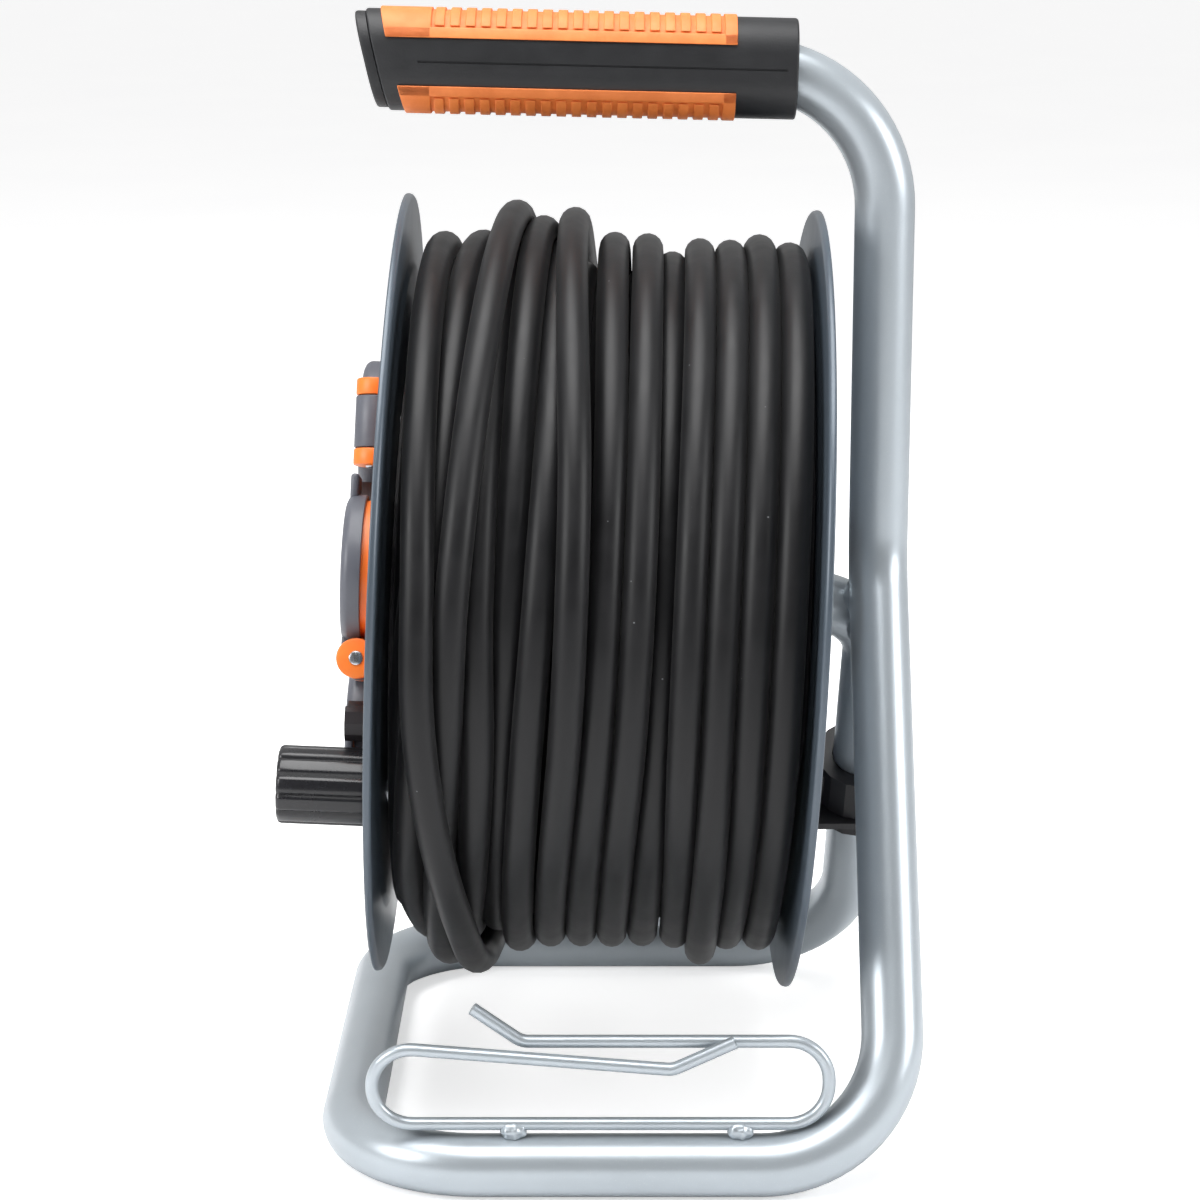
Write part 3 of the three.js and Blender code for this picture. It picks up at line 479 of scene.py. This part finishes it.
# The plug, tucked in against the front disc on the far side. Its z runs from the cable to the pins.
plugCentre = (plug["radius"], -4, -(plug["x"] + reel["flangeX"]))
rowFromPlug = rowFromFace @ turnedBy(plug["angle"]) @ axesAt(plugCentre, (1, 0, 0), (0, 0, -1), (0, 1, 0))
plugBody = turnedShape([
    (0, -14), (8.4, -14), (9.6, -12), (11.6, -6), (16, 1), (17.8, 5), (18.4, 9), (18.4, 12), (17.7, 13),
    (17.7, 15), (18.4, 16), (18.4, 18), (17.7, 19), (17.7, 21), (18.4, 22), (18.4, 25.4), (17.6, 27.6),
    (16.2, 28.8), (0, 28.9)], 72)
finished(plugBody, "plugBody", plugRubber, "drum", rowFromPlug, ["plug_body"])
reliefProfile = [(5.7, -43), (6.5, -43)]
for k in range(7):
    z, wall = -42.4 + 4 * k, 6.6 + 0.42 * k
    reliefProfile += [(wall, z), (wall + 0.15, z + 2.4), (wall - 0.7, z + 2.7), (wall - 0.7, z + 3.7)]
reliefProfile += [(9.4, -13), (5.7, -13), (5.7, -43)]
plugRelief = turnedShape(reliefProfile, 40)
finished(plugRelief, "plugStrainRelief", plugRubber, "drum", rowFromPlug)
# A tapered boot round the cable where it comes through the barrel's wall.
glandBoot = lineOf("glandBoot", cordPoints[:6], 0.001, 8)
for point, radius in zip(glandBoot.data.splines[0].points, (9.2, 9.0, 8.5, 7.8, 7.1, 6.5)):
    point.radius = radius
pick(glandBoot)
bpy.ops.object.convert(target="MESH")
glandBoot = bpy.context.object
finished(glandBoot, "glandBoot", plugRubber, "drum", Matrix.Identity(4))
print("plug made")

# The stand: one bent tube from the grip round the foot loop to the axle.
stand = {
    "radius": 11, "railZ": 11, "railY": 120, "uprightX": 104, "uprightY": -5, "frontX": -89.8, "kneeZ": 202,
    "handleZ": 383.2, "handleRise": 0.0236, "handleEndX": -70.5, "bend": 47, "topBend": 50, "axleBend": 28,
    "axleEnd": -34,
}
tilt = math.tan(math.radians(reel["drumTilt"]))
handleReach = stand["uprightX"] - stand["handleEndX"]
handleEnd = (stand["handleEndX"], stand["uprightY"], stand["handleZ"] + handleReach * stand["handleRise"])
standCorners = [
    (*handleEnd, 0),
    (stand["uprightX"], stand["uprightY"], stand["handleZ"], stand["topBend"]),
    (stand["uprightX"], stand["uprightY"], stand["kneeZ"], stand["bend"]),
    (stand["uprightX"], -stand["railY"], stand["railZ"], stand["bend"]),
    (stand["frontX"], -stand["railY"], stand["railZ"], stand["bend"]),
    (stand["frontX"], stand["railY"], stand["railZ"], stand["bend"]),
    (stand["uprightX"], stand["railY"], stand["railZ"], stand["bend"]),
    (stand["uprightX"], 0, reel["hubZ"] - stand["uprightX"] * tilt, stand["axleBend"]),
    (stand["axleEnd"], 0, reel["hubZ"] - stand["axleEnd"] * tilt, 0),
]
frameTube = tubeOf("frameTube", bentRoute(standCorners, 5), stand["radius"], 14)
finished(frameTube, "frameTube", silverEnamel, "stand", rowFromReel, ["frame_tube"], 50)

# The wire clip: one sprung wire welded to the near rail, its arms crossing side by side.
clip = {"radius": 2.3, "low": 26.45, "high": 55.85, "loop": 14, "front": -122.5, "rear": -117.5, "mid": -120}
clipCorners = [
    (-44, clip["rear"], clip["high"] + 12, 0),
    (-27, clip["rear"], clip["high"], 8),
    (80, clip["rear"], clip["high"], clip["loop"]),
    (80, clip["mid"], clip["low"], clip["loop"]),
    (-79, clip["mid"], clip["low"], clip["loop"]),
    (-79, clip["front"], clip["high"], clip["loop"]),
    (25.5, clip["front"], clip["high"] - 8.5, 8),
    (47, clip["front"], clip["high"] + 1.5, 0),
]
wireClip = bevelled(tubeOf("wireClip", bentRoute(clipCorners, 7), clip["radius"], 6), 0.4, 2, 60)
finished(wireClip, "wireClip", silverEnamel, "stand", rowFromReel, ["wire_clip"], 50)

# Weld beads: squashed balls with the ripple of a hand-laid weld, painted over with the stand.
welds = (
    ("clipWeldFront", (-30, -121.2, 24.2), (4.6, 3, 3.2)),
    ("clipWeldRear", (49, -121.2, 24.2), (4.6, 3, 3.2)),
    ("axleWeld", (96.5, -6.5, 190), (5.5, 6, 7.5)),
    ("axleWeldLow", (96.8, -5, 178), (4.5, 6, 6)),
)
for name, place, size in welds:
    deselectAll()
    bpy.ops.mesh.primitive_ico_sphere_add(subdivisions=4, radius=1)
    bead = bpy.context.object
    for vertex in bead.data.vertices:
        ripple = 1 + 0.05 * math.sin(9 * vertex.co.x) + 0.12 * noise.noise(vertex.co * 2.2 + Vector(place))
        vertex.co = Vector([c * s * ripple for c, s in zip(vertex.co, size)])
    beadPlace = rowFromReel @ Matrix.Translation(place)
    finished(bead, name, silverEnamel, "stand", beadPlace, (), 80)
print("stand made")

# The handle grip, drawn with x across, y up and z along the handle from its free end.
grip = {
    "width": 32, "height": 36, "corner": 14, "start": -9, "end": 141.5, "slant": 14, "proud": 0.9,
    "padFrom": -3.4, "padTo": 119.5, "padEdge": 8.5, "studs": 19, "studPitch": 5.47, "studFrom": 13.5,
    "studWide": 3.5, "studEdge": 12.2,
}
handleWay = (Vector(standCorners[1][:3]) - Vector(handleEnd)).normalized()
handleUp = handleWay.cross(Vector((0, 1, 0))).normalized()
if handleUp.z < 0:
    handleUp.negate()
rowFromGrip = rowFromReel @ axesAt(handleEnd, (0, 1, 0), handleUp, handleWay)
slantNormal = (0, -math.sin(math.radians(grip["slant"])), -math.cos(math.radians(grip["slant"])))


# A length of the grip's rounded section, grown by some mm.
def gripLength(grow, start, end, edge=0.5, slanted=None, low=None, high=None):
    w, h = grip["width"] / 2 + grow, grip["height"] / 2 + grow
    deselectAll()
    bpy.ops.mesh.primitive_cube_add(size=1, location=(0, 0, (start + end) / 2))
    obj = bpy.context.object
    obj.scale = (2 * w, 2 * h, end - start)
    bpy.ops.object.transform_apply(location=True, scale=True)
    editAll(obj)
    bpy.ops.mesh.select_mode(type="EDGE")
    bpy.ops.mesh.select_all(action="DESELECT")
    bpy.ops.object.mode_set(mode="OBJECT")
    for line in obj.data.edges:
        a, b = (obj.data.vertices[i].co for i in line.vertices)
        line.select = abs(a.z - b.z) > 1e-3
    bpy.ops.object.mode_set(mode="EDIT")
    bpy.ops.mesh.bevel(offset=grip["corner"] + grow, segments=14)
    bpy.ops.object.mode_set(mode="OBJECT")
    if slanted is not None:
        cutOff(obj, (0, 0, slanted), slantNormal)
    if low is not None:
        cutOff(obj, (0, low, 0), (0, -1, 0))
    if high is not None:
        cutOff(obj, (0, high, 0), (0, 1, 0))
    return bevelled(obj, edge, 3, 50)


sleeve = gripLength(0, -30, grip["end"], 0.8, grip["start"])
halfWidth = grip["width"] / 2
seams = [block((side * halfWidth - 0.5, -0.35, 6), (side * halfWidth + 0.5, 0.35, grip["end"] - 4), 0.1, 1)
         for side in (-1, 1)]
for seam in seams:
    pick(sleeve)
    cut = sleeve.modifiers.new("seam", "BOOLEAN")
    cut.operation = "DIFFERENCE"
    cut.object = seam
    bpy.ops.object.modifier_apply(modifier="seam")
    bpy.data.objects.remove(seam)
finished(sleeve, "gripSleeve", gripNylon, "stand", rowFromGrip, ["grip_sleeve"])
cap = gripLength(-1, -40, 30, 0.9, grip["start"] - 4.2)
cutOff(cap, (0, 0, grip["start"] - 0.3), tuple(-c for c in slantNormal))
finished(cap, "gripEndCap", gripNylon, "stand", rowFromGrip, ["grip_end_cap"])


# One pad: a sunk floor, a smooth band along its edge, plain ends and a row of studs between them.
def gripPad(side):
    slanted, proud, edge, studEdge = grip["padFrom"], grip["proud"], grip["padEdge"], grip["studEdge"]
    lastStud = grip["studFrom"] + grip["studPitch"] * (grip["studs"] - 1)
    upTo = lambda value: (value, None) if side > 0 else (None, -value)
    band = (edge, studEdge) if side > 0 else (-studEdge, -edge)
    parts = [
        gripLength(0.05, -20, grip["padTo"], 0.6, slanted, *upTo(edge)),
        gripLength(proud, -20, grip["padTo"], 0.6, slanted, *band),
        gripLength(proud, -20, grip["studFrom"] - 3, 0.7, slanted, *upTo(edge)),
        gripLength(proud, lastStud + 3, grip["padTo"], 0.7, None, *upTo(edge)),
    ]
    half = grip["studWide"] / 2
    start = grip["studFrom"]
    stud = gripLength(proud, start - half, start + half, 0.9, None, *upTo(studEdge + 0.6))
    for k in range(1, grip["studs"]):
        another = copyOf(stud)
        another.data.transform(Matrix.Translation((0, 0, grip["studPitch"] * k)))
        parts.append(another)
    return joined(stud, *parts)


for name, side, node in (("gripPadTop", 1, "grip_pad_top"), ("gripPadBottom", -1, "grip_pad_bottom")):
    finished(gripPad(side), name, gripElastomer, "stand", rowFromGrip, [node])
print("grip made")

# The two steel discs, with their pressed step and rolled rim. z is along the axle, outwards.
disc = {"radius": 145, "sheet": 1.3, "lip": 4, "frontHole": 85.6, "rearHole": 30, "outer": 73.7}


def discProfile(hole):
    out, inside = disc["outer"], disc["outer"] - disc["sheet"]
    lip = out + disc["lip"] - disc["sheet"]
    r, s = disc["radius"], disc["sheet"]
    return [
        (hole, inside), (117.6, inside), (118.6, inside + 0.1), (121, inside + 1.05), (122, inside + 1.2),
        (r - 2, inside + 1.2), (r - 1, inside + 1.35), (r - 0.3, inside + 1.9), (r, inside + 2.8),
        (r, lip - 0.5), (r - 0.2, lip - 0.1), (r - 0.6, lip), (r - 1.1, lip - 0.1), (r - s, lip - 0.5),
        (r - s, out + 2),
        (r - s - 0.3, out + 1.5), (r - s - 1, out + 1.2), (121.6, out + 1.2), (120.6, out + 1.05),
        (118.2, out + 0.1), (117.2, out), (hole, out), (hole, inside),
    ]


steelDiscs = (("rearDisc", "rearHole", 1, "rear_flange"), ("frontDisc", "frontHole", -1, "front_flange"))
for name, hole, way, node in steelDiscs:
    steelDisc = turnedShape(discProfile(disc[hole]), 144)
    outwards = rowFromDrum @ Matrix.Rotation(way * math.pi / 2, 4, "Y")
    finished(steelDisc, name, slateEnamel, "drum", outwards, [node], 50)
print("discs made")

# The sockets: an orange frame with hinge knuckles, a sprung lid and its steel pin, about the socket's centre.
socket = {
    "radius": 56, "angles": (16, 106, 196, 286), "lidRadius": 27, "lidBase": 9.6, "lidTop": 17.3,
    "hingeY": -32, "hingeZ": 10.4, "barrel": 7.1, "barrelHalf": 16, "knuckle": 9.5, "pin": 2.6, "tail": 48,
}
hinge = (socket["hingeY"], socket["hingeZ"])
top, base, wide = socket["lidTop"], socket["lidBase"], socket["lidRadius"]
lid = turnedShape([
    (0, top - 2.4), (24.2, top - 2.8), (25.2, top - 3.6), (25.6, top - 4.6), (25.6, base), (wide - 0.3, base),
    (wide, base + 0.3), (wide, top - 3.4), (wide - 0.3, top - 2.4), (wide - 1.2, top - 1.3),
    (wide - 2.8, top - 0.6), (wide - 4.2, top - 0.5), (wide - 4.6, top - 0.75), (wide - 5.2, top - 0.75),
    (wide - 5.6, top - 0.4), (14, top - 0.1), (0, top)], 96)
arm = block((-9.2, socket["hingeY"], socket["hingeZ"] + 1.2), (9.2, -24, top - 0.9), 0.9, 3)
knuckle = roundBar(socket["barrel"], -socket["knuckle"], socket["knuckle"], hinge, "X", 56, 0.5)
tab = block((-8, wide - 2.5, top - 4.6), (8, wide + 7, top - 1.6), 1.2, 4)
lid = joined(lid, arm, knuckle, tab)

toe = socket["tail"]
foot = []
for x, y, r in ((0, 0, wide + 1.2), (9, 7 - toe, 7), (-9, 7 - toe, 7)):
    deselectAll()
    bpy.ops.mesh.primitive_cylinder_add(vertices=96, radius=r, depth=3.3, location=(x, y, 3.75))
    bpy.ops.object.transform_apply(location=True)
    foot.append(bpy.context.object)
foot = joined(*foot)
editAll(foot)
bpy.ops.mesh.convex_hull()
bpy.ops.object.mode_set(mode="OBJECT")
bevelled(foot, 0.9, 3, 40)
collar = turnedShape([(22.8, 3), (25, 3), (25, 12), (24.6, 12.4), (23.2, 12.4), (22.8, 12), (22.8, 3)], 96)
ears = []
for side in (-1, 1):
    ends = sorted((side * (socket["knuckle"] + 0.3), side * socket["barrelHalf"]))
    ears.append(roundBar(socket["barrel"], ends[0], ends[1], hinge, "X", 56, 0.7))
    low = (ends[0], hinge[0] - socket["barrel"], 4)
    ears.append(block(low, (ends[1], hinge[0] + socket["barrel"], hinge[1]), 0.5, 2))
socketFrame = joined(foot, collar, *ears)
hole = roundBar(22.75, -5, 20, (0, 0), "Z", 96, 0.01)
pick(socketFrame)
cut = socketFrame.modifiers.new("well", "BOOLEAN")
cut.operation = "DIFFERENCE"
cut.object = hole
bpy.ops.object.modifier_apply(modifier="well")
bpy.data.objects.remove(hole)
pin = roundBar(socket["pin"], -socket["barrelHalf"] - 0.6, socket["barrelHalf"] + 0.6, hinge, "X", 32, 0.6)

for k, angle in enumerate(socket["angles"], 1):
    place = rowFromFace @ Matrix.Translation(onFace(socket["radius"], angle)) @ turnedBy(angle)
    finished(copyOf(lid), f"socketLid{k}", lidPolypropylene, f"lid_{k}", place,
             [f"socket_lid_{k}"])
    finished(copyOf(socketFrame), f"socketFrame{k}", orangePolyamide, "drum", place,
             [f"socket_frame_{k}"])
    finished(copyOf(pin), f"hingePin{k}", zincSteel, "drum", place,
             [f"lid_hinge_pin_{k}"])
for pattern in (lid, socketFrame, pin):
    bpy.data.objects.remove(pattern)
print("sockets made")

# The winding knob: a fluted sleeve that turns on a headed pin.
knob = {
    "radius": 14, "at": 92, "angle": -41, "base": 2.3, "top": 37.4, "flutes": 12, "flute": 1.0, "bore": 3.5,
    "sink": 7.5, "sinkDepth": 5,
}
low, high, wide, sink = knob["base"], knob["top"], knob["radius"], knob["sink"]
floorZ = high - knob["sinkDepth"]
knobShape = turnedShape([
    (knob["bore"], low), (12.6, low), (13.6, low + 0.4), (wide, low + 1.4), (wide, low + 6), (wide, high - 6),
    (wide, high - 1.4), (13.6, high - 0.5), (12.8, high), (8.2, high), (sink, high - 0.6), (sink, floorZ),
    (knob["bore"], floorZ), (knob["bore"], low)], 144)
for vertex in knobShape.data.vertices:
    r = math.hypot(vertex.co.x, vertex.co.y)
    if r > 12:
        a = math.atan2(vertex.co.y, vertex.co.x)
        groove = max(0, math.cos(knob["flutes"] * a)) ** 3
        new = r - knob["flute"] * groove
        vertex.co.x *= new / r
        vertex.co.y *= new / r
knobPlace = rowFromFace @ Matrix.Translation(onFace(knob["at"], knob["angle"]))
finished(knobShape, "windingKnob", knobAbs, "knob", knobPlace, ["winding_knob"], 40)
print("knob made")

# Every carried-over part gets its material.
carried = {
    zincSteel: ["axle_end_plug", "retaining_washer", "retaining_screw", "brake_collar_screw", "knob_pin",
                "plug_pin_1", "plug_pin_2"]
    + [f"{part}_{k}" for part in ("rear_flange_screw", "panel_screw") for k in (1, 2, 3)]
    + [f"lid_spring_{k}" for k in (1, 2, 3, 4)],
    blackPolyamide: ["brake_collar", "brake_plate", "drum_core", "cable_gland", "thermal_cutout_body"]
    + [f"socket_insert_{k}" for k in (1, 2, 3, 4)],
    panelPolyamide: ["front_panel"],
    lidPolypropylene: ["bush_front", "bush_rear", "terminal_block"],
    orangePolyamide: ["reset_button"],
    contactBrass: [f"earth_contact_{k}" for k in (1, 2, 3, 4)],
}
for material, names in carried.items():
    for name in names:
        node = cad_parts[name]
        for place in node.material_slots:
            place.link = "OBJECT"
            place.material = material
print("carried-over parts finished")

# A pale floor and soft studio light.
deselectAll()
bpy.ops.mesh.primitive_plane_add(size=60)
floor = bpy.context.object
floor.name = "paleFloor"
# White paper: bright enough to the eye to lose its edges, while it lights the reel only by what it reflects.
paper = surface("white paper sweep, matt", {
    "colour": "#f4f4f4", "tint": "#f1f1f2", "patch": 400, "grain": 3, "depth": 0.01, "roughness": (0.7, 0.8),
    "shader": {"Emission Color": (1, 1, 1, 1)}})
paperTree = paper.node_tree
seenPaper = addNode(paperTree, "ShaderNodeMath", {"operation": "MULTIPLY", 1: 0.55},
                    {0: addNode(paperTree, "ShaderNodeLightPath").outputs["Is Camera Ray"]})
paperTree.links.new(seenPaper.outputs[0], paperTree.nodes["Principled BSDF"].inputs["Emission Strength"])
floor.data.materials.append(paper)

world = bpy.data.worlds.new("studio")
world.use_nodes = True
sky = world.node_tree
# White to the eye, but dim towards the front of the room, so that dark surfaces stay dark.
facing = addNode(sky, "ShaderNodeSeparateXYZ", {}, {0: addNode(sky, "ShaderNodeTexCoord").outputs["Generated"]})
room = addNode(sky, "ShaderNodeMapRange",
               {"From Min": -0.7, "From Max": 0.5, "To Min": 0.12, "To Max": 0.62},
               {"Value": facing.outputs["Y"]})
direct = addNode(sky, "ShaderNodeLightPath").outputs["Is Camera Ray"]
glow = addNode(sky, "ShaderNodeMath", {"operation": "MAXIMUM"}, {0: room.outputs[0], 1: direct})
sky.links.new(glow.outputs[0], sky.nodes["Background"].inputs["Strength"])
sky.nodes["Background"].inputs["Color"].default_value = (1, 1, 1, 1)
bpy.context.scene.world = world
lamps = (
    ("overhead", (-0.2, -0.3, 1.9), (0, 0, 0.15), 1.6, 52),
    ("leftSide", (-1.5, -0.9, 0.9), (0, 0, 0.2), 0.8, 18),
    ("rightSide", (1.6, -0.6, 0.8), (0, 0, 0.2), 0.8, 15),
)
for name, place, aim, size, power in lamps:
    lampData = bpy.data.lights.new(name, "AREA")
    lampData.size = size
    lampData.energy = power
    lamp = bpy.data.objects.new(name, lampData)
    lamp.location = place
    lamp.rotation_euler = (Vector(aim) - Vector(place)).to_track_quat("-Z", "Y").to_euler()
    bpy.context.scene.collection.objects.link(lamp)
print("stage set")
